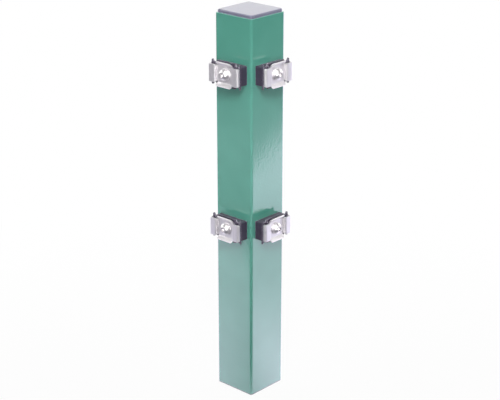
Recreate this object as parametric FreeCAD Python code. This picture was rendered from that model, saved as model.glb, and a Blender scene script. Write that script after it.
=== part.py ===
"""Corner post for wire mesh fence panels: a square steel tube with an end cap and four wire clamps.

Millimetres. +Z runs up the post, the origin is on the post's axis at its foot. Two clamps sit on
the face that looks along -Y ("left") and two on the face that looks along +X ("right").
A clamp is built on the -Y face: x runs across the face, w is the distance out from the face.
"""
import FreeCAD, Part
import math
import os

from FreeCAD import Placement, Rotation, Vector

# Post tube
tube_side = 60.0
tube_wall = 2.0
tube_corner_radius = 3.0
post_length = 500.0
tube_edge_radius = 0.5

# End cap
cap_inset = 1.25
cap_rim_height = 4.0
cap_corner_radius = 4.0
cap_edge_radius = 1.4
cap_skirt_depth = 14.0
cap_skirt_wall = 2.0
cap_skirt_gap = 0.4
cap_rib_width = 1.6
cap_rib_gap = 0.1
cap_rib_offset = 14.0

# Places of the clamps
clamp_drop = 70.0
clamp_pitch = 200.0

# Mesh wire that the clamps hold
wire_diameter = 5.0
wire_play = 0.1

# Plastic block
block_face_width = 47.0
block_face_height = 31.6
block_face_thickness = 2.0
block_depth = 13.2
block_body_width = 45.4
block_body_height = 24.0
block_corner_radius = 1.2
ear_span = 45.2
ear_wall = 1.5
ear_rib = 0.8
ear_front_height = 17.0
ear_slope_start = 0.8
ear_edge_radius = 0.8
ear_gap = 0.3
wire_seat_sink = 1.3
mouth_flare = 2.2
mouth_depth = 5.0

# Pressed steel plate
sheet = 1.5
bend_radius = 0.8
plate_play = 0.3
wing_height = 22.6
wing_corner_radius = 1.8
hook_gap = 0.4
hook_reach = 3.4
hook_bend_radius = 1.1
flange_height = 31.8
flange_width = 24.8
flange_corner_radius = 3.0
flange_angle = 45.0

# Fasteners, M8
bolt_diameter = 8.0
bolt_length = 25.0
head_diameter = 14.0
head_height = 4.4
head_rim = 0.7
head_flat_diameter = 7.4
socket_width = 5.0
socket_depth = 2.6
thread_play = 0.1
bolt_hole_play = 0.3
bolt_tip_chamfer = 1.0
washer_diameter = 16.0
washer_thickness = 1.6
insert_flange_diameter = 14.0
insert_flange_thickness = 1.0
insert_body_diameter = 10.8
insert_bulge_diameter = 14.4
insert_bulge_length = 4.0
insert_reach = 11.0
insert_hole_play = 0.1
insert_recess_play = 0.3

# Worked out from the sizes above
half_side = tube_side / 2
half_bore = half_side - tube_wall
tube_bore_radius = max(tube_corner_radius - tube_wall, 0.5)

wire_seat_radius = wire_diameter / 2 + wire_play
ear_outer_x = ear_span / 2
wire_x = ear_outer_x - ear_wall - wire_seat_radius
wire_w = block_depth - wire_seat_sink + wire_seat_radius
ear_inner_x = wire_x - wire_seat_radius - ear_rib

return_outer_x = ear_inner_x - plate_play
return_inner_x = return_outer_x - sheet
web_back_w = block_depth
web_front_w = web_back_w + sheet
wing_back_w = wire_w + wire_seat_radius + wire_play
wing_front_w = wing_back_w + sheet
ear_front_w = wing_back_w - ear_gap
hook_inner_x = ear_outer_x + hook_gap
hook_outer_x = hook_inner_x + sheet

bolt_radius = bolt_diameter / 2
bolt_hole_radius = bolt_radius + bolt_hole_play
seat_w = web_front_w + washer_thickness


def plan(x, w):
    """Point of a clamp's plan outline, seen from above."""
    return Vector(x, -w, 0)


def side(w, z):
    """Point of a clamp's side outline, seen along the face."""
    return Vector(0, -w, z)


def front(x, z):
    """Point of a clamp's front outline, seen square on to the face."""
    return Vector(x, 0, z)


def level(x, y):
    """Point of the post's own section."""
    return Vector(x, y, 0)


def rounded_face(corners, to_space):
    """Flat face from (u, v, radius) corners, with a tangent arc at each corner that has a radius."""
    points = [to_space(u, v) for u, v, radius in corners]
    starts = []
    ends = []
    middles = []
    for i, (u, v, radius) in enumerate(corners):
        here = points[i]
        back = (points[i - 1] - here).normalize()
        ahead = (points[(i + 1) % len(points)] - here).normalize()
        half_turn = back.getAngle(ahead) / 2
        reach = radius / math.tan(half_turn)
        starts.append(here + back * reach)
        ends.append(here + ahead * reach)
        if radius:
            inward = (back + ahead).normalize()
            middles.append(here + inward * (radius / math.sin(half_turn) - radius))
        else:
            middles.append(None)
    edges = []
    for i in range(len(corners)):
        if middles[i] is not None:
            edges.append(Part.Arc(starts[i], middles[i], ends[i]).toShape())
        following = starts[(i + 1) % len(corners)]
        if ends[i].distanceToPoint(following) > 1e-6:
            edges.append(Part.makeLine(ends[i], following))
    return Part.Face(Part.Wire(edges))


def prism(corners, to_space, start, end):
    """Solid swept from the vector start to the vector end with a rounded section."""
    face = rounded_face(corners, to_space)
    face.translate(start)
    return face.extrude(end - start)


def rectangle(width, height, radius):
    """Corners of a rectangle about the origin."""
    u = width / 2
    v = height / 2
    return [(-u, -v, radius), (u, -v, radius), (u, v, radius), (-u, v, radius)]


def out(w):
    """Vector that leads out from the tube's face."""
    return Vector(0, -w, 0)


def up(z):
    """Vector that leads up the post."""
    return Vector(0, 0, z)


def rod(radius, start_w, end_w):
    """Cylinder on the bolt's axis, between two distances from the face."""
    return Part.makeCylinder(radius, end_w - start_w, out(start_w), out(1))


def turned(profile):
    """Solid turned about the bolt's axis from (radius, w) points, where a point may be an arc's middle.

    A point given as (radius, w, "through") is passed by the arc between its two neighbours.
    """
    spots = [Vector(point[0], -point[1], 0) for point in profile]
    through = [len(point) == 3 for point in profile]
    count = len(profile)
    edges = []
    for i in range(count):
        after = (i + 1) % count
        if through[i]:
            continue
        if through[after]:
            edges.append(Part.Arc(spots[i], spots[after], spots[(i + 2) % count]).toShape())
        else:
            edges.append(Part.makeLine(spots[i], spots[after]))
    face = Part.Face(Part.Wire(edges))
    return face.revolve(Vector(0, 0, 0), out(1), 360)


def upper_edges(solid, z):
    """Edges of the solid that lie at that height."""
    return [edge for edge in solid.Edges if edge.BoundBox.ZMin > z - 0.01]


def make_tube():
    """Square tube with rounded corners, open at both ends, with four holes for the inserts."""
    outer = prism(rectangle(tube_side, tube_side, tube_corner_radius), level, up(0), up(post_length))
    outer = outer.makeFillet(tube_edge_radius, upper_edges(outer, post_length))
    bore = prism(rectangle(half_bore * 2, half_bore * 2, tube_bore_radius), level, up(0), up(post_length))
    tube = outer.cut(bore)
    hole_radius = insert_body_diameter / 2 + insert_hole_play
    for placement in clamp_places().values():
        hole = rod(hole_radius, -tube_wall - 1, 1)
        hole.Placement = placement.multiply(hole.Placement)
        tube = tube.cut(hole)
    return tube


def make_cap():
    """Moulded cap: a rounded rim on the tube's end and a hollow ribbed skirt inside the tube."""
    rim_width = tube_side - 2 * cap_inset
    rim = prism(rectangle(rim_width, rim_width, cap_corner_radius), level, up(0), up(cap_rim_height))
    rim = rim.makeFillet(cap_edge_radius, upper_edges(rim, cap_rim_height))
    skirt_half = half_bore - cap_skirt_gap
    skirt_width = 2 * skirt_half
    skirt_radius = tube_bore_radius + cap_skirt_gap
    hollow_width = skirt_width - 2 * cap_skirt_wall
    skirt = prism(rectangle(skirt_width, skirt_width, skirt_radius), level, up(-cap_skirt_depth), up(0))
    hollow = prism(rectangle(hollow_width, hollow_width, skirt_radius), level, up(-cap_skirt_depth), up(0))
    skirt = skirt.cut(hollow)
    rib_reach = half_bore - cap_rib_gap
    rib_foot = skirt_half - cap_skirt_wall / 2
    rib = Part.makeBox(rib_reach - rib_foot, cap_rib_width, cap_skirt_depth,
                       Vector(rib_foot, -cap_rib_width / 2, -cap_skirt_depth))
    ribs = []
    for quarter in range(4):
        for offset in (-cap_rib_offset, cap_rib_offset):
            one = rib.copy()
            one.translate(Vector(0, offset, 0))
            one.rotate(Vector(0, 0, 0), Vector(0, 0, 1), 90 * quarter)
            ribs.append(one)
    cap = rim.fuse([skirt] + ribs).removeSplitter()
    cap.translate(up(post_length))
    return cap


def make_block():
    """Moulded spacer: body, taller front face, and an ear at each end with a groove for a wire."""
    face_back = block_depth - block_face_thickness
    face_top = block_face_height / 2
    ear_top = ear_front_height / 2
    body = prism(rectangle(block_body_width, block_body_height, block_corner_radius), front,
                 out(0), out(face_back))
    face_outline = rectangle(block_face_width, block_face_height, block_corner_radius)
    face = prism(face_outline, front, out(face_back), out(block_depth))
    ear_limit = prism(face_outline, front, out(face_back), out(ear_front_w))
    ear_profile = [
        (face_back, face_top, 0),
        (block_depth - ear_slope_start, face_top, 0),
        (ear_front_w, ear_top, ear_edge_radius),
        (ear_front_w, -ear_top, ear_edge_radius),
        (block_depth - ear_slope_start, -face_top, 0),
        (face_back, -face_top, 0),
    ]
    block = body.fuse(face)
    for end in (-1, 1):
        ear = prism(ear_profile, side, Vector(end * ear_inner_x, 0, 0), Vector(end * ear_outer_x, 0, 0))
        block = block.fuse(ear.common(ear_limit))
    block = block.removeSplitter()
    for end in (-1, 1):
        block = block.cut(wire_groove(end * wire_x))
    block = block.cut(rod(bolt_hole_radius, 0, block_depth))
    recess_radius = insert_flange_diameter / 2 + insert_recess_play
    return block.cut(rod(recess_radius, 0, insert_flange_thickness + insert_recess_play))


def wire_groove(x):
    """Round groove for one upright wire, open to the front, with a flared mouth at each end."""
    half = block_face_height / 2
    centre = Vector(x, -wire_w, 0)
    groove = Part.makeCylinder(wire_seat_radius, 2 * half, centre - up(half), up(1))
    front_slot = Part.makeBox(2 * wire_seat_radius, ear_front_w, 2 * half,
                              Vector(x - wire_seat_radius, -wire_w - ear_front_w, -half))
    groove = groove.fuse(front_slot)
    for way in (-1, 1):
        mouth = Part.makeCone(wire_seat_radius + mouth_flare, wire_seat_radius, mouth_depth,
                              centre + up(way * half), up(-way))
        groove = groove.fuse(mouth)
    return groove


def make_plate():
    """Pressed plate: recessed web, hooked wings that grip the wires, flared flanges at top and bottom."""
    bent = bend_radius + sheet
    hook_tip_w = wing_front_w - hook_reach
    hook_bent = hook_bend_radius + sheet
    half_outline = [
        (return_inner_x, web_front_w, bend_radius),
        (return_inner_x, wing_front_w, bent),
        (hook_outer_x, wing_front_w, hook_bent),
        (hook_outer_x, hook_tip_w, 0),
        (hook_inner_x, hook_tip_w, 0),
        (hook_inner_x, wing_back_w, hook_bend_radius),
        (return_outer_x, wing_back_w, bend_radius),
        (return_outer_x, web_back_w, bent),
    ]
    mirrored = [(-x, w, radius) for x, w, radius in reversed(half_outline)]
    wings = prism(half_outline + mirrored, plan, up(-wing_height / 2), up(wing_height / 2))
    flanges = prism(flange_outline(), side, Vector(-flange_width / 2, 0, 0), Vector(flange_width / 2, 0, 0))
    deep = out(wing_front_w + 1)
    flange_shape = prism(rectangle(flange_width, flange_height, flange_corner_radius), front, out(0), deep)
    wing_shape = prism(rectangle(2 * return_outer_x, wing_height - 2 * wing_corner_radius, 0),
                       front, out(0), deep)
    for end in (-1, 1):
        middle = end * (return_inner_x + hook_outer_x) / 2
        wing_face = prism(rectangle(hook_outer_x - return_inner_x, wing_height, wing_corner_radius),
                          front, out(0), deep)
        wing_face.translate(Vector(middle, 0, 0))
        wing_shape = wing_shape.fuse(wing_face)
    plate = wings.common(wing_shape).fuse(flanges.common(flange_shape)).removeSplitter()
    return plate.cut(rod(bolt_hole_radius, web_back_w - 1, web_front_w + 1))


def flange_outline():
    """Side outline of the web with its two flared flanges, of even thickness."""
    slope = math.radians(flange_angle)
    lean_w = math.sin(slope)
    lean_z = math.cos(slope)
    bent = bend_radius + sheet
    tip_w = wing_front_w
    tip_z = flange_height / 2 - sheet * lean_w
    root_z = tip_z - (tip_w - web_front_w) * lean_z / lean_w
    back_root_z = root_z + sheet * math.tan(slope / 2)
    back_tip_w = tip_w - sheet * lean_z
    upper = [
        (web_back_w, back_root_z, bent),
        (back_tip_w, tip_z + sheet * lean_w, sheet / 4),
        (tip_w, tip_z, sheet / 4),
        (web_front_w, root_z, bend_radius),
    ]
    lower = [(w, -z, radius) for w, z, radius in reversed(upper)]
    return upper + lower


def make_washer():
    """Plain washer under the bolt's head."""
    ring = rod(washer_diameter / 2, web_front_w, seat_w)
    return ring.cut(rod(bolt_radius + bolt_hole_play, web_front_w, seat_w))


def make_bolt():
    """Domed bolt with a hexagon socket, its corners to the sides, and a plain shank for the thread."""
    head_radius = head_diameter / 2
    flat_radius = head_flat_diameter / 2
    rim_w = seat_w + head_rim
    top_w = seat_w + head_height
    tip_w = seat_w - bolt_length
    dome_centre_w = dome_centre(head_radius, rim_w, flat_radius, top_w)
    dome_radius = math.hypot(head_radius, rim_w - dome_centre_w)
    middle_angle = (math.atan2(rim_w - dome_centre_w, head_radius)
                    + math.atan2(top_w - dome_centre_w, flat_radius)) / 2
    profile = [
        (0, tip_w),
        (bolt_radius - bolt_tip_chamfer, tip_w),
        (bolt_radius, tip_w + bolt_tip_chamfer),
        (bolt_radius, seat_w),
        (head_radius, seat_w),
        (head_radius, rim_w),
        (dome_radius * math.cos(middle_angle), dome_centre_w + dome_radius * math.sin(middle_angle), "through"),
        (flat_radius, top_w),
        (0, top_w),
    ]
    corner = socket_width / math.sqrt(3)
    hexagon = [(corner * math.cos(math.radians(60 * i)), corner * math.sin(math.radians(60 * i)), 0)
               for i in range(6)]
    socket = prism(hexagon, front, out(top_w - socket_depth), out(top_w + 1))
    return turned(profile).cut(socket)


def dome_centre(wide_radius, wide_w, narrow_radius, narrow_w):
    """Centre, on the axis, of the arc that passes two points of the dome."""
    return (narrow_radius ** 2 + narrow_w ** 2 - wide_radius ** 2 - wide_w ** 2) / (2 * (narrow_w - wide_w))


def make_insert():
    """Blind rivet nut, set in the tube's wall: flange outside, crimped bulge inside."""
    thread_radius = bolt_radius + thread_play
    body_radius = insert_body_diameter / 2
    bulge_radius = insert_bulge_diameter / 2
    bulge_w = -tube_wall - insert_bulge_length
    profile = [
        (thread_radius, insert_flange_thickness),
        (insert_flange_diameter / 2, insert_flange_thickness),
        (insert_flange_diameter / 2, 0),
        (body_radius, 0),
        (body_radius, -tube_wall),
        (bulge_radius, (bulge_w - tube_wall) / 2, "through"),
        (body_radius, bulge_w),
        (body_radius, -tube_wall - insert_reach),
        (thread_radius, -tube_wall - insert_reach),
    ]
    return turned(profile)


def clamp_places():
    """Placement of each clamp, by its name: level on the post and face."""
    places = {}
    upper_z = post_length - clamp_drop
    for height, z in (("upper", upper_z), ("lower", upper_z - clamp_pitch)):
        for face, turn in (("left", 0), ("right", 90)):
            rotation = Rotation(Vector(0, 0, 1), turn)
            base = rotation.multVec(out(half_side)) + up(z)
            places[height + "_" + face] = Placement(base, rotation)
    return places


def save(node, shape):
    """Write one sub-part."""
    shape.exportStep("parts/" + node + ".step")


def main():
    """Build every sub-part in its place."""
    os.makedirs("parts", exist_ok=True)
    save("post_tube", make_tube())
    save("post_cap", make_cap())
    clamp_pieces = {
        "block": make_block(),
        "plate": make_plate(),
        "washer": make_washer(),
        "bolt": make_bolt(),
        "insert": make_insert(),
    }
    for place, placement in clamp_places().items():
        for piece, shape in clamp_pieces.items():
            placed = shape.copy()
            placed.Placement = placement.multiply(placed.Placement)
            save(place + "_" + piece, placed)


main()
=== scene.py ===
"""Finishes, camera and light for a corner fence post with four wire clamps."""

import math

import bmesh
import bpy
from bpy.props import FloatProperty, FloatVectorProperty, PointerProperty
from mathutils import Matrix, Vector


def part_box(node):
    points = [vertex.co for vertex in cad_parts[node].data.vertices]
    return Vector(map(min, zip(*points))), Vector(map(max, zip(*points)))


bl_info = {
    "name": "Corner fence post",
    "version": (1, 0, 0),
    "blender": (4, 5, 0),
    "location": "View3D > Sidebar > Fence post",
    "description": "Finishes a coated corner post with its clamps, and sets its stage",
    "category": "Object",
}

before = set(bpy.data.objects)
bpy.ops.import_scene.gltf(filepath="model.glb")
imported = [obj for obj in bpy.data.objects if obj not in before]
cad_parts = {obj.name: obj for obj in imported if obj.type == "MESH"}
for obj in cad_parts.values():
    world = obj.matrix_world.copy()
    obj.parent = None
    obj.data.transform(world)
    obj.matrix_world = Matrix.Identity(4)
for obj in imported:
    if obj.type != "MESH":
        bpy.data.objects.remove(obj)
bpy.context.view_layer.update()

CLAMPS = ("upper_left", "upper_right", "lower_left", "lower_right")
POST_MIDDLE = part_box("post_tube")[1].z / 2
WHITE = (1.0, 1.0, 1.0, 1.0)

# Widths of the finishes' clouds, patches and grain, and depths of their bumps, in metres
COAT_CLOUD = 0.05
PLASTIC_CLOUD = 0.012
# The next width is for the patches of the painted highlight along the blocks' edges
EDGE_HIGHLIGHT_PATCH = 0.004
SHEET_PATCH = 0.006
STREAK_DEPTH = 0.000008
SHEET_EDGE_RADIUS = 0.0007
TURNED_PATCH = 0.002
TURNED_GRAIN = 0.0009
TURNED_DEPTH = 0.000006

# Share of the grey foot band's height over which it fades, and how the painted edge highlight
# fades as the rounded normal comes near the true one
FOOT_BAND_FADE = 0.4
EDGE_HIGHLIGHT_SHARE = {"low": 1.0, "high": 0.0, "start": 0.76, "end": 0.97}

# The surround as light, and how it dims overhead in reflections
SURROUND_COLOUR = (1.0, 0.99, 1.0, 1.0)
SURROUND_STRENGTH = 0.1
OVERHEAD_DIMMING = {"low": 1.0, "high": 0.3, "start": 0.35, "end": 0.75}

# Each lamp's name, turn from the camera and rise in degrees, distance and side in metres,
# share of full white, height of its aim in metres, and angle of its grid in degrees
LAMPS = (
    ("overhead_softbox", 0, 66, 1.2, 0.6, 0.24, 0.3, 70),
    ("front_softbox", 0, 38, 1.3, 0.5, 0.9, 0.375, 27),
    ("front_low_softbox", 0, 3, 2.0, 0.7, 0.32, 0.44, 30),
    ("left_softbox", -86, 16, 1.7, 1.15, 0.17, 0.43, 70),
    ("right_softbox", 86, 16, 1.7, 1.15, 0.15, 0.43, 70),
    ("back_softbox", 180, 15, 2.0, 1.1, 0.045, 0.5, None),
    ("back_left_softbox", -135, 22, 1.8, 0.7, 0.36, 0.3, None),
    ("back_right_softbox", 135, 22, 1.8, 0.7, 0.36, 0.3, None),
    ("back_top_softbox", 180, 72, 1.5, 0.7, 0.12, POST_MIDDLE, None),
)
# How fast a grid's slats shade a lamp as its side grows against the throw of its light
GRID_LOSS = 0.38

# The floor, and the glow that the camera sees on it, by distance from the post
FLOOR_COLOUR = (0.72, 0.72, 0.72, 1.0)
FLOOR_HALF_SIDE = 30.0
OWN_GLOW = {"low": 0.95, "high": 1.0, "start": 0.15, "end": 0.7}

# The floor in reflections: its tint, and its strength all round by distance from the post
FLOOR_GLOSS_TINT = (0.86, 0.84, 1.0, 1.0)
ROUND_GROWING = {"low": 0.35, "high": 1.0, "start": 0.35, "end": 1.1}
ROUND_FADING = {"low": 0.49, "high": 0.08, "start": 0.95, "end": 1.85}

# Its two bright parts: the slants and softness of their edges, and their gains near the post,
# further out and at the rim, by distance from the post
LEFT_PART = {"slant": 0.0, "near_gain": 1.83, "middle_gain": 1.33, "rim_gain": 0.0}
RIGHT_PART = {"slant": 2.4, "near_gain": 2.58, "middle_gain": 1.4, "rim_gain": 0.3}
NEAR_TO_MIDDLE = {"start": 0.0, "end": 0.45}
MIDDLE_TO_RIM = {"start": 0.65, "end": 0.9}
SIDE_SEAM = {"low": 0.0, "high": 1.0, "start": -0.02, "end": 0.02}
FAR_EDGE_SOFTNESS = 0.05
FRONT_EDGE_SLANT = 0.17
FRONT_EDGE_SOFTNESS = 0.075
WEDGE_SLANT = 13.0
WEDGE_SOFTNESS = 0.03


def from_screen(red, green, blue):
    """A screen colour, 0 to 255, as the linear colour that a shader takes."""
    parts = [value / 255 for value in (red, green, blue)]
    return tuple(p / 12.92 if p <= 0.04045 else ((p + 0.055) / 1.055) ** 2.4 for p in parts)


def colour_property(name, description, screen):
    """A colour setting whose default is given as a screen colour."""
    return FloatVectorProperty(
        name=name,
        description=description,
        subtype="COLOR",
        size=3,
        min=0.0,
        max=1.0,
        default=from_screen(*screen),
    )


def length_property(name, description, metres):
    """A length setting in metres."""
    return FloatProperty(
        name=name, description=description, default=metres, min=0.0, unit="LENGTH", precision=6
    )


def share_property(name, description, share):
    """A setting from 0 to 1."""
    return FloatProperty(
        name=name, description=description, default=share, min=0.0, max=1.0, subtype="FACTOR"
    )


class CoatSettings(bpy.types.PropertyGroup):
    """The baked green powder coat of the tube."""

    colour: colour_property("Coat colour", "Colour of the powder coat", (82, 153, 136))
    cloud_colour: colour_property(
        "Coat cloud", "Slightly lighter clouds in the coat", (87, 158, 141)
    )
    roughness: share_property("Coat roughness", "How blurred the coat's reflections are", 0.2)
    peel_size: length_property("Peel size", "Width of one dimple of the orange peel", 0.0028)
    peel_depth: length_property("Peel depth", "Depth of the orange peel", 0.000068)
    # A grey band painted along the tube's bottom edge, fading out upwards
    foot_band_colour: colour_property(
        "Foot band colour", "Colour of the sawn edge at the foot", (122, 130, 130)
    )
    foot_band_height: length_property("Foot band height", "Height to which the sawn edge shows", 0.0013)


class PlasticSettings(bpy.types.PropertyGroup):
    """The moulded plastics of the cap and the spacer blocks."""

    cap_colour: colour_property("Cap colour", "Colour of the end cap", (102, 101, 122))
    cap_roughness: share_property("Cap roughness", "How matt the end cap is", 0.36)
    block_colour: colour_property("Block colour", "Colour of the spacer blocks", (60, 52, 69))
    block_roughness: share_property("Block roughness", "How matt the blocks are", 0.36)
    # Painted highlight: a pale colour painted along the blocks' sharp edges, in patches
    edge_highlight_colour: colour_property(
        "Edge highlight colour", "Colour of the blocks' rubbed edges", (168, 164, 178)
    )
    edge_highlight_width: length_property("Edge highlight width", "Width of the blocks' rubbed edges", 0.0016)
    grain_size: length_property("Grain size", "Width of the mould's eroded grain", 0.0006)
    grain_depth: length_property("Grain depth", "Depth of the mould's eroded grain", 0.00001)


class SteelSettings(bpy.types.PropertyGroup):
    """The bare metals of the plates, washers, bolts and inserts."""

    plate_colour: colour_property("Plate colour", "Colour of the pressed plates", (236, 233, 235))
    plate_roughness: share_property(
        "Plate roughness", "How blurred the plates' reflections are", 0.44
    )
    streak_width: length_property("Streak width", "Width of the rolling streaks", 0.0007)
    streak_length: length_property("Streak length", "Length of the rolling streaks", 0.018)
    bolt_colour: colour_property("Bolt colour", "Colour of the bolts", (226, 223, 224))
    bolt_roughness: share_property(
        "Bolt roughness", "How blurred the bolts' reflections are", 0.38
    )
    insert_colour: colour_property(
        "Insert colour", "Colour of the zinc plated inserts", (188, 190, 196)
    )
    insert_roughness: share_property(
        "Insert roughness", "How blurred the inserts' reflections are", 0.38
    )


class StageSettings(bpy.types.PropertyGroup):
    """The camera, the lamps and the floor."""

    lens: FloatProperty(
        name="Lens", description="Focal length of the camera in millimetres", default=102.0,
        min=1.0,
    )
    distance: length_property("Camera distance", "From the camera to the point it looks at", 1.8)
    aim_height: length_property("Aim height", "Height of the point the camera looks at", 0.2565)
    azimuth: FloatProperty(
        name="Azimuth", description="Turn of the camera round the post", subtype="ANGLE",
        default=math.radians(42.68),
    )
    elevation: FloatProperty(
        name="Elevation", description="Rise of the camera above the level", subtype="ANGLE",
        default=math.radians(20.5),
    )
    left_reach: length_property(
        "Left reach", "How far the floor's bright part goes on the left", 0.64
    )
    right_reach: length_property(
        "Right reach", "How far the floor's bright part goes on the right", 0.83
    )
    front_reach: length_property(
        "Front reach", "How far the floor's bright parts come to the front", 0.045
    )
    wedge_reach: length_property(
        "Wedge reach", "Where the dark wedge cuts the floor's left bright part", 1.5
    )


# Shader helpers


def new_finish(name):
    """A new material, its node tree and its Principled shader."""
    material = bpy.data.materials.new(name)
    material.use_nodes = True
    tree = material.node_tree
    return material, tree, tree.nodes["Principled BSDF"]


def object_noise(tree, size, detail=2.0, stretch=None):
    """The factor socket of a noise on Object coordinates, with features of about that size."""
    place = tree.nodes.new("ShaderNodeTexCoord")
    mapping = tree.nodes.new("ShaderNodeMapping")
    noise = tree.nodes.new("ShaderNodeTexNoise")
    width, depth, height = stretch or (size, size, size)
    mapping.inputs["Scale"].default_value = (1 / width, 1 / depth, 1 / height)
    noise.inputs["Scale"].default_value = 1.0
    noise.inputs["Detail"].default_value = detail
    tree.links.new(place.outputs["Object"], mapping.inputs["Vector"])
    tree.links.new(mapping.outputs["Vector"], noise.inputs["Vector"])
    return noise.outputs["Fac"]


def blended_colour(tree, factor, low, high):
    """The colour socket of a mix from the low to the high colour."""
    ramp = tree.nodes.new("ShaderNodeValToRGB")
    ramp.color_ramp.interpolation = "EASE"
    for stop, position, colour in zip(ramp.color_ramp.elements, (0.35, 0.65), (low, high)):
        stop.position = position
        stop.color = (*colour, 1.0)
    tree.links.new(factor, ramp.inputs["Fac"])
    return ramp.outputs["Color"]


def ranged(tree, factor, low, high, start=0.3, end=0.7, smooth=False):
    """The socket of a factor mapped from start and end to low and high, and held there beyond."""
    spread = tree.nodes.new("ShaderNodeMapRange")
    if smooth:
        spread.interpolation_type = "SMOOTHSTEP"
    spread.inputs["From Min"].default_value = start
    spread.inputs["From Max"].default_value = end
    spread.inputs["To Min"].default_value = low
    spread.inputs["To Max"].default_value = high
    tree.links.new(factor, spread.inputs["Value"])
    return spread.outputs["Result"]


def calculated(tree, operation, *sockets):
    """The socket of a sum, product or the like of sockets."""
    step = tree.nodes.new("ShaderNodeMath")
    step.operation = operation
    for slot, socket in enumerate(sockets):
        tree.links.new(socket, step.inputs[slot])
    return step.outputs["Value"]


def product(tree, first, *others):
    """The socket of the product of two or more sockets."""
    for other in others:
        first = calculated(tree, "MULTIPLY", first, other)
    return first


def edge(tree, measure, place, softness):
    """The socket of a share that falls from 1 to 0 where the measure passes the place."""
    return ranged(
        tree, measure, 1.0, 0.0, start=place - softness, end=place + softness, smooth=True
    )


def uneven_roughness(tree, shader, factor, roughness, dip, rise):
    """Lets the shader's roughness vary with the factor, by a dip and a rise."""
    uneven = ranged(tree, factor, roughness - dip, roughness + rise)
    tree.links.new(uneven, shader.inputs["Roughness"])


def rounded_edges(tree, radius):
    """The socket of a normal that is turned near sharp edges, as if they were rounded."""
    bevel = tree.nodes.new("ShaderNodeBevel")
    bevel.samples = 6
    bevel.inputs["Radius"].default_value = radius
    return bevel.outputs["Normal"]


def edge_share(tree, width):
    """The socket of a share that is 1 on sharp edges and 0 away from them."""
    geometry = tree.nodes.new("ShaderNodeNewGeometry")
    likeness = tree.nodes.new("ShaderNodeVectorMath")
    likeness.operation = "DOT_PRODUCT"
    tree.links.new(rounded_edges(tree, width), likeness.inputs[0])
    tree.links.new(geometry.outputs["Normal"], likeness.inputs[1])
    return ranged(tree, likeness.outputs["Value"], **EDGE_HIGHLIGHT_SHARE)


def mixed_colour(tree, share, first, second):
    """The colour socket of the first colour, and of the second where the share is 1."""
    mix = tree.nodes.new("ShaderNodeMix")
    mix.data_type = "RGBA"
    mix.inputs["B"].default_value = (*second, 1.0)
    tree.links.new(share, mix.inputs["Factor"])
    tree.links.new(first, mix.inputs["A"])
    return mix.outputs["Result"]


def mixed_shader(tree, factor, first, second):
    """The socket of the first shader, and of the second where the factor is 1."""
    mix = tree.nodes.new("ShaderNodeMixShader")
    tree.links.new(factor, mix.inputs["Fac"])
    tree.links.new(first, mix.inputs[1])
    tree.links.new(second, mix.inputs[2])
    return mix.outputs["Shader"]


def add_bump(tree, shader, height, depth, under=None):
    """Gives the shader a bump of that depth in metres, over another one where there is one."""
    bump = tree.nodes.new("ShaderNodeBump")
    bump.inputs["Strength"].default_value = 1.0
    bump.inputs["Distance"].default_value = depth
    tree.links.new(height, bump.inputs["Height"])
    if under is not None:
        tree.links.new(under, bump.inputs["Normal"])
    tree.links.new(bump.outputs["Normal"], shader.inputs["Normal"])
    return bump.outputs["Normal"]


def set_sockets(shader, **values):
    """Sets constants on the shader's own sockets; an underscore in a name stands for a space."""
    for name, value in values.items():
        shader.inputs[name.replace("_", " ")].default_value = value


# Finishes


def coat_finish(settings):
    """Glossy green powder coat with a fine orange peel."""
    material, tree, shader = new_finish("green_powder_coat")
    clouds = object_noise(tree, COAT_CLOUD, detail=1.0)
    green = blended_colour(tree, clouds, settings.colour, settings.cloud_colour)
    place = tree.nodes.new("ShaderNodeTexCoord")
    height = tree.nodes.new("ShaderNodeSeparateXYZ")
    tree.links.new(place.outputs["Object"], height.inputs["Vector"])
    # A grey band along the lowest part of the tube, fading out upwards
    band_top = settings.foot_band_height
    greyed = edge(tree, height.outputs["Z"], band_top, softness=band_top * FOOT_BAND_FADE)
    colour = mixed_colour(tree, greyed, green, settings.foot_band_colour)
    tree.links.new(colour, shader.inputs["Base Color"])
    dimples = object_noise(tree, settings.peel_size, detail=0.0)
    peel = add_bump(tree, shader, dimples, settings.peel_depth)
    tree.links.new(peel, shader.inputs["Coat Normal"])
    uneven_roughness(tree, shader, clouds, settings.roughness, dip=0.0, rise=0.04)
    set_sockets(shader, IOR=1.45, Coat_Weight=1.0, Coat_Roughness=0.06, Coat_IOR=1.95)
    return material


def plastic_finish(name, colour, roughness, settings, coat, specular, highlighted=False):
    """Moulded plastic with an eroded grain, and optionally a pale painted highlight along its
    edges.
    """
    material, tree, shader = new_finish(name)
    clouds = object_noise(tree, PLASTIC_CLOUD)
    lighter = [min(1.0, part * 1.12 + 0.002) for part in colour]
    mottle_and_highlight = blended_colour(tree, clouds, colour, lighter)
    # Painted highlight: a pale colour along the sharp edges, in random patches
    if highlighted:
        patches = ranged(tree, object_noise(tree, EDGE_HIGHLIGHT_PATCH), 0.25, 1.0)
        painted_highlight = product(tree, edge_share(tree, settings.edge_highlight_width), patches)
        mottle_and_highlight = mixed_colour(tree, painted_highlight, mottle_and_highlight, settings.edge_highlight_colour)
    tree.links.new(mottle_and_highlight, shader.inputs["Base Color"])
    uneven_roughness(tree, shader, clouds, roughness, dip=0.03, rise=0.05)
    add_bump(tree, shader, object_noise(tree, settings.grain_size), settings.grain_depth)
    set_sockets(shader, IOR=1.5, Specular_IOR_Level=specular)
    set_sockets(shader, Coat_Weight=coat, Coat_Roughness=roughness * 0.8, Coat_IOR=1.5)
    return material


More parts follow.
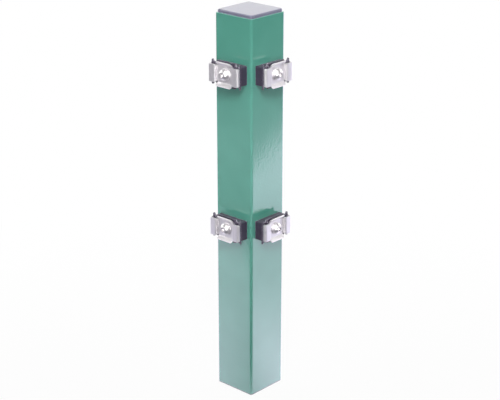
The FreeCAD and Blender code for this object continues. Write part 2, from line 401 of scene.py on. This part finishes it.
def rolled_steel_finish(settings):
    """Pressed stainless sheet with upright rolling streaks."""
    material, tree, shader = new_finish("rolled_stainless")
    width, length = settings.streak_width, settings.streak_length
    streaks = object_noise(tree, width, detail=3.0, stretch=(width, width, length))
    patches = object_noise(tree, SHEET_PATCH)
    darker = [part * 0.9 for part in settings.plate_colour]
    colour = blended_colour(tree, streaks, darker, settings.plate_colour)
    tree.links.new(colour, shader.inputs["Base Color"])
    uneven_roughness(tree, shader, patches, settings.plate_roughness, dip=0.05, rise=0.06)
    add_bump(tree, shader, streaks, STREAK_DEPTH, under=rounded_edges(tree, SHEET_EDGE_RADIUS))
    set_sockets(shader, Metallic=1.0)
    return material


def turned_steel_finish(name, colour, roughness):
    """Bright turned or plated steel with a faint unevenness."""
    material, tree, shader = new_finish(name)
    patches = object_noise(tree, TURNED_PATCH)
    darker = [part * 0.93 for part in colour]
    tree.links.new(blended_colour(tree, patches, darker, colour), shader.inputs["Base Color"])
    uneven_roughness(tree, shader, patches, roughness, dip=0.03, rise=0.05)
    add_bump(tree, shader, object_noise(tree, TURNED_GRAIN), TURNED_DEPTH)
    set_sockets(shader, Metallic=1.0)
    return material


def dress(node, material):
    """Gives a solid of the frame its finish."""
    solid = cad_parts[node]
    for slot in solid.material_slots:
        slot.link = "OBJECT"
        slot.material = material


# Operators, one for each group of like pieces


class FENCE_OT_coat_tube(bpy.types.Operator):
    """Gives the square tube its green powder coat"""

    bl_idname = "fence.coat_tube"
    bl_label = "Coat the tube"

    def execute(self, context):
        dress("post_tube", coat_finish(context.scene.fence_coat))
        return {"FINISHED"}


class FENCE_OT_finish_cap(bpy.types.Operator):
    """Gives the end cap its grey plastic"""

    bl_idname = "fence.finish_cap"
    bl_label = "Finish the cap"

    def execute(self, context):
        settings = context.scene.fence_plastic
        plastic = plastic_finish(
            "grey_cap_plastic", settings.cap_colour, settings.cap_roughness, settings,
            coat=1.0, specular=0.5,
        )
        dress("post_cap", plastic)
        return {"FINISHED"}


class FENCE_OT_finish_blocks(bpy.types.Operator):
    """Gives the four spacer blocks their black plastic"""

    bl_idname = "fence.finish_blocks"
    bl_label = "Finish the blocks"

    def execute(self, context):
        settings = context.scene.fence_plastic
        # The blocks' finish carries a painted highlight along their edges
        plastic = plastic_finish(
            "black_block_plastic", settings.block_colour, settings.block_roughness, settings,
            coat=0.0, specular=0.35, highlighted=True,
        )
        for clamp in CLAMPS:
            dress(clamp + "_block", plastic)
        return {"FINISHED"}


class FENCE_OT_finish_plates(bpy.types.Operator):
    """Gives the four clamp plates and their washers the look of rolled stainless sheet"""

    bl_idname = "fence.finish_plates"
    bl_label = "Finish the plates"

    def execute(self, context):
        steel = rolled_steel_finish(context.scene.fence_steel)
        for clamp in CLAMPS:
            dress(clamp + "_plate", steel)
            dress(clamp + "_washer", steel)
        return {"FINISHED"}


class FENCE_OT_finish_bolts(bpy.types.Operator):
    """Gives the four domed bolts their bright steel"""

    bl_idname = "fence.finish_bolts"
    bl_label = "Finish the bolts"

    def execute(self, context):
        settings = context.scene.fence_steel
        steel = turned_steel_finish(
            "bright_bolt_steel", settings.bolt_colour, settings.bolt_roughness
        )
        for clamp in CLAMPS:
            dress(clamp + "_bolt", steel)
        return {"FINISHED"}


class FENCE_OT_finish_inserts(bpy.types.Operator):
    """Gives the four threaded inserts their zinc plating"""

    bl_idname = "fence.finish_inserts"
    bl_label = "Finish the inserts"

    def execute(self, context):
        settings = context.scene.fence_steel
        steel = turned_steel_finish(
            "zinc_plated_steel", settings.insert_colour, settings.insert_roughness
        )
        for clamp in CLAMPS:
            dress(clamp + "_insert", steel)
        return {"FINISHED"}


# Stage


def direction_from(azimuth, elevation):
    """The direction from the post to a place at that turn and rise; azimuth 0 is at -Y."""
    level = math.cos(elevation)
    return Vector((math.sin(azimuth) * level, -math.cos(azimuth) * level, math.sin(elevation)))


def aimed(obj, target, direction, distance):
    """Puts the object at that distance from the target and turns it to look there."""
    obj.location = target + direction * distance
    obj.rotation_mode = "QUATERNION"
    obj.rotation_quaternion = (-direction).to_track_quat("-Z", "Y")
    bpy.context.scene.collection.objects.link(obj)


def add_camera(settings):
    """The camera at the photograph's viewing angle."""
    lens = bpy.data.cameras.new("camera")
    lens.lens = settings.lens
    lens.clip_end = 60.0
    camera = bpy.data.objects.new("camera", lens)
    target = Vector((0, 0, settings.aim_height))
    direction = direction_from(settings.azimuth, settings.elevation)
    aimed(camera, target, direction, settings.distance)
    bpy.context.scene.camera = camera


def add_softbox(name, azimuth, elevation, distance, size, white_share, height, grid):
    """A square lamp that alone would light a white card at its aim to that share of white.

    A grid keeps its light within that angle. The power is lowered for what the grid gathers.
    """
    light = bpy.data.lights.new(name, "AREA")
    light.shape = "SQUARE"
    light.size = size
    light.energy = white_share * (math.pi * distance) ** 2
    if grid is not None:
        light.spread = math.radians(grid)
        half = light.spread / 2
        kept_share = 1 - GRID_LOSS * size / (distance * math.tan(half))
        light.energy *= (1 - half / math.tan(half)) / kept_share
    lamp = bpy.data.objects.new(name, light)
    lamp.visible_camera = False
    direction = direction_from(math.radians(azimuth), math.radians(elevation))
    aimed(lamp, Vector((0, 0, height)), direction, distance)


def seen_directly_or_in_gloss(tree):
    """The socket that is 1 for camera, glossy and transmission rays."""
    rays = tree.nodes.new("ShaderNodeLightPath")
    total = rays.outputs["Is Camera Ray"]
    for name in ("Is Glossy Ray", "Is Transmission Ray"):
        total = calculated(tree, "MAXIMUM", total, rays.outputs[name])
    return total


def add_world():
    """A surround that is white to the eye, weak as light, and dims overhead in reflections."""
    world = bpy.data.worlds.new("studio")
    bpy.context.scene.world = world
    world.use_nodes = True
    tree = world.node_tree
    light = tree.nodes["Background"]
    light.inputs["Color"].default_value = SURROUND_COLOUR
    light.inputs["Strength"].default_value = SURROUND_STRENGTH
    shown = tree.nodes.new("ShaderNodeBackground")
    shown.inputs["Color"].default_value = WHITE
    sky = tree.nodes.new("ShaderNodeTexCoord")
    upward = tree.nodes.new("ShaderNodeSeparateXYZ")
    tree.links.new(sky.outputs["Generated"], upward.inputs["Vector"])
    dimmed = ranged(tree, upward.outputs["Z"], **OVERHEAD_DIMMING, smooth=True)
    rays = tree.nodes.new("ShaderNodeLightPath")
    strength = calculated(tree, "MAXIMUM", dimmed, rays.outputs["Is Camera Ray"])
    tree.links.new(strength, shown.inputs["Strength"])
    seen = seen_directly_or_in_gloss(tree)
    whole = mixed_shader(tree, seen, light.outputs["Background"], shown.outputs["Background"])
    tree.links.new(whole, tree.nodes["World Output"].inputs["Surface"])


def distance_along(tree, direction):
    """The socket of a floor point's distance from the post along that direction."""
    place = tree.nodes.new("ShaderNodeTexCoord")
    along = tree.nodes.new("ShaderNodeVectorMath")
    along.operation = "DOT_PRODUCT"
    along.inputs[1].default_value = direction
    tree.links.new(place.outputs["Object"], along.inputs[0])
    return along.outputs["Value"]


def distance_from_post(tree):
    """The socket of a floor point's distance from the post."""
    place = tree.nodes.new("ShaderNodeTexCoord")
    away = tree.nodes.new("ShaderNodeVectorMath")
    away.operation = "LENGTH"
    tree.links.new(place.outputs["Object"], away.inputs[0])
    return away.outputs["Value"]


def bright_part(tree, settings, side, reach, slant, near_gain, middle_gain, rim_gain):
    """The socket of the strength that one side's bright part adds to the mirrored floor."""
    front = direction_from(settings.azimuth, 0)
    away = distance_from_post(tree)
    within = edge(tree, distance_along(tree, side + front * slant), reach, FAR_EDGE_SOFTNESS)
    front_edge = distance_along(tree, front - side * FRONT_EDGE_SLANT)
    behind = edge(tree, front_edge, settings.front_reach, FRONT_EDGE_SOFTNESS)
    on_side = ranged(tree, distance_along(tree, side), **SIDE_SEAM)
    gain = ranged(tree, away, near_gain, middle_gain, **NEAR_TO_MIDDLE, smooth=True)
    rim = ranged(tree, away, 0.0, rim_gain, **MIDDLE_TO_RIM, smooth=True)
    return product(tree, within, on_side, behind, calculated(tree, "ADD", gain, rim))


def floor_gloss_strength(tree, settings):
    """The socket of the mirrored floor's strength: bright beside the post, dim before it."""
    front = direction_from(settings.azimuth, 0)
    right = direction_from(settings.azimuth + math.radians(90), 0)
    away = distance_from_post(tree)
    growing = ranged(tree, away, **ROUND_GROWING, smooth=True)
    fading = ranged(tree, away, **ROUND_FADING, smooth=True)
    all_round = product(tree, growing, fading)
    wedge_edge = distance_along(tree, front * WEDGE_SLANT - right)
    beside_wedge = edge(tree, wedge_edge, settings.wedge_reach, WEDGE_SOFTNESS)
    left_part = bright_part(tree, settings, -right, settings.left_reach, **LEFT_PART)
    right_part = bright_part(tree, settings, right, settings.right_reach, **RIGHT_PART)
    both = calculated(tree, "ADD", product(tree, left_part, beside_wedge), right_part)
    return calculated(tree, "ADD", all_round, both)


def floor_finish(settings):
    """White floor that keeps the object's shadow."""
    material, tree, shader = new_finish("white_floor")
    tree.nodes.remove(shader)
    matt = tree.nodes.new("ShaderNodeBsdfDiffuse")
    matt.inputs["Color"].default_value = FLOOR_COLOUR
    rays = tree.nodes.new("ShaderNodeLightPath")

    shown = tree.nodes.new("ShaderNodeEmission")
    shown.inputs["Color"].default_value = WHITE
    glow = ranged(tree, distance_from_post(tree), **OWN_GLOW, smooth=True)
    shown_share = product(tree, rays.outputs["Is Camera Ray"], glow)

    mirrored = tree.nodes.new("ShaderNodeEmission")
    mirrored.inputs["Color"].default_value = FLOOR_GLOSS_TINT
    tree.links.new(floor_gloss_strength(tree, settings), mirrored.inputs["Strength"])

    seen = mixed_shader(tree, shown_share, matt.outputs["BSDF"], shown.outputs["Emission"])
    whole = mixed_shader(tree, rays.outputs["Is Glossy Ray"], seen, mirrored.outputs["Emission"])
    tree.links.new(whole, tree.nodes["Material Output"].inputs["Surface"])
    return material


def add_floor(settings):
    """The wide floor that the post stands on."""
    shape = bmesh.new()
    bmesh.ops.create_grid(shape, x_segments=1, y_segments=1, size=FLOOR_HALF_SIDE)
    mesh = bpy.data.meshes.new("floor")
    shape.to_mesh(mesh)
    shape.free()
    mesh.materials.append(floor_finish(settings))
    floor = bpy.data.objects.new("floor", mesh)
    bpy.context.scene.collection.objects.link(floor)


class FENCE_OT_set_stage(bpy.types.Operator):
    """Sets the camera, the soft lamps, the white surround and the floor"""

    bl_idname = "fence.set_stage"
    bl_label = "Set the stage"

    def execute(self, context):
        settings = context.scene.fence_stage
        add_camera(settings)
        view = math.degrees(settings.azimuth)
        for name, turn, *measures in LAMPS:
            add_softbox(name, view + turn, *measures)
        add_world()
        add_floor(settings)
        context.scene.view_settings.view_transform = "Standard"
        return {"FINISHED"}


OPERATORS = (
    FENCE_OT_coat_tube,
    FENCE_OT_finish_cap,
    FENCE_OT_finish_blocks,
    FENCE_OT_finish_plates,
    FENCE_OT_finish_bolts,
    FENCE_OT_finish_inserts,
    FENCE_OT_set_stage,
)

SETTINGS = {
    "fence_coat": CoatSettings,
    "fence_plastic": PlasticSettings,
    "fence_steel": SteelSettings,
    "fence_stage": StageSettings,
}


class FENCE_PT_tools(bpy.types.Panel):
    """Lists the steps that finish the post"""

    bl_idname = "FENCE_PT_tools"
    bl_label = "Corner fence post"
    bl_space_type = "VIEW_3D"
    bl_region_type = "UI"
    bl_category = "Fence post"

    def draw(self, context):
        for operator in OPERATORS:
            self.layout.operator(operator.bl_idname)


def register():
    """Registers the settings, operators and panel."""
    for name, group in SETTINGS.items():
        bpy.utils.register_class(group)
        setattr(bpy.types.Scene, name, PointerProperty(type=group))
    for operator in OPERATORS:
        bpy.utils.register_class(operator)
    bpy.utils.register_class(FENCE_PT_tools)


def unregister():
    """Removes the panel, operators and settings."""
    bpy.utils.unregister_class(FENCE_PT_tools)
    for operator in reversed(OPERATORS):
        bpy.utils.unregister_class(operator)
    for name, group in SETTINGS.items():
        delattr(bpy.types.Scene, name)
        bpy.utils.unregister_class(group)


def main():
    """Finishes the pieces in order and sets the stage."""
    register()
    bpy.ops.fence.coat_tube()
    bpy.ops.fence.finish_cap()
    bpy.ops.fence.finish_blocks()
    bpy.ops.fence.finish_plates()
    bpy.ops.fence.finish_bolts()
    bpy.ops.fence.finish_inserts()
    bpy.ops.fence.set_stage()


if __name__ == "__main__":
    main()
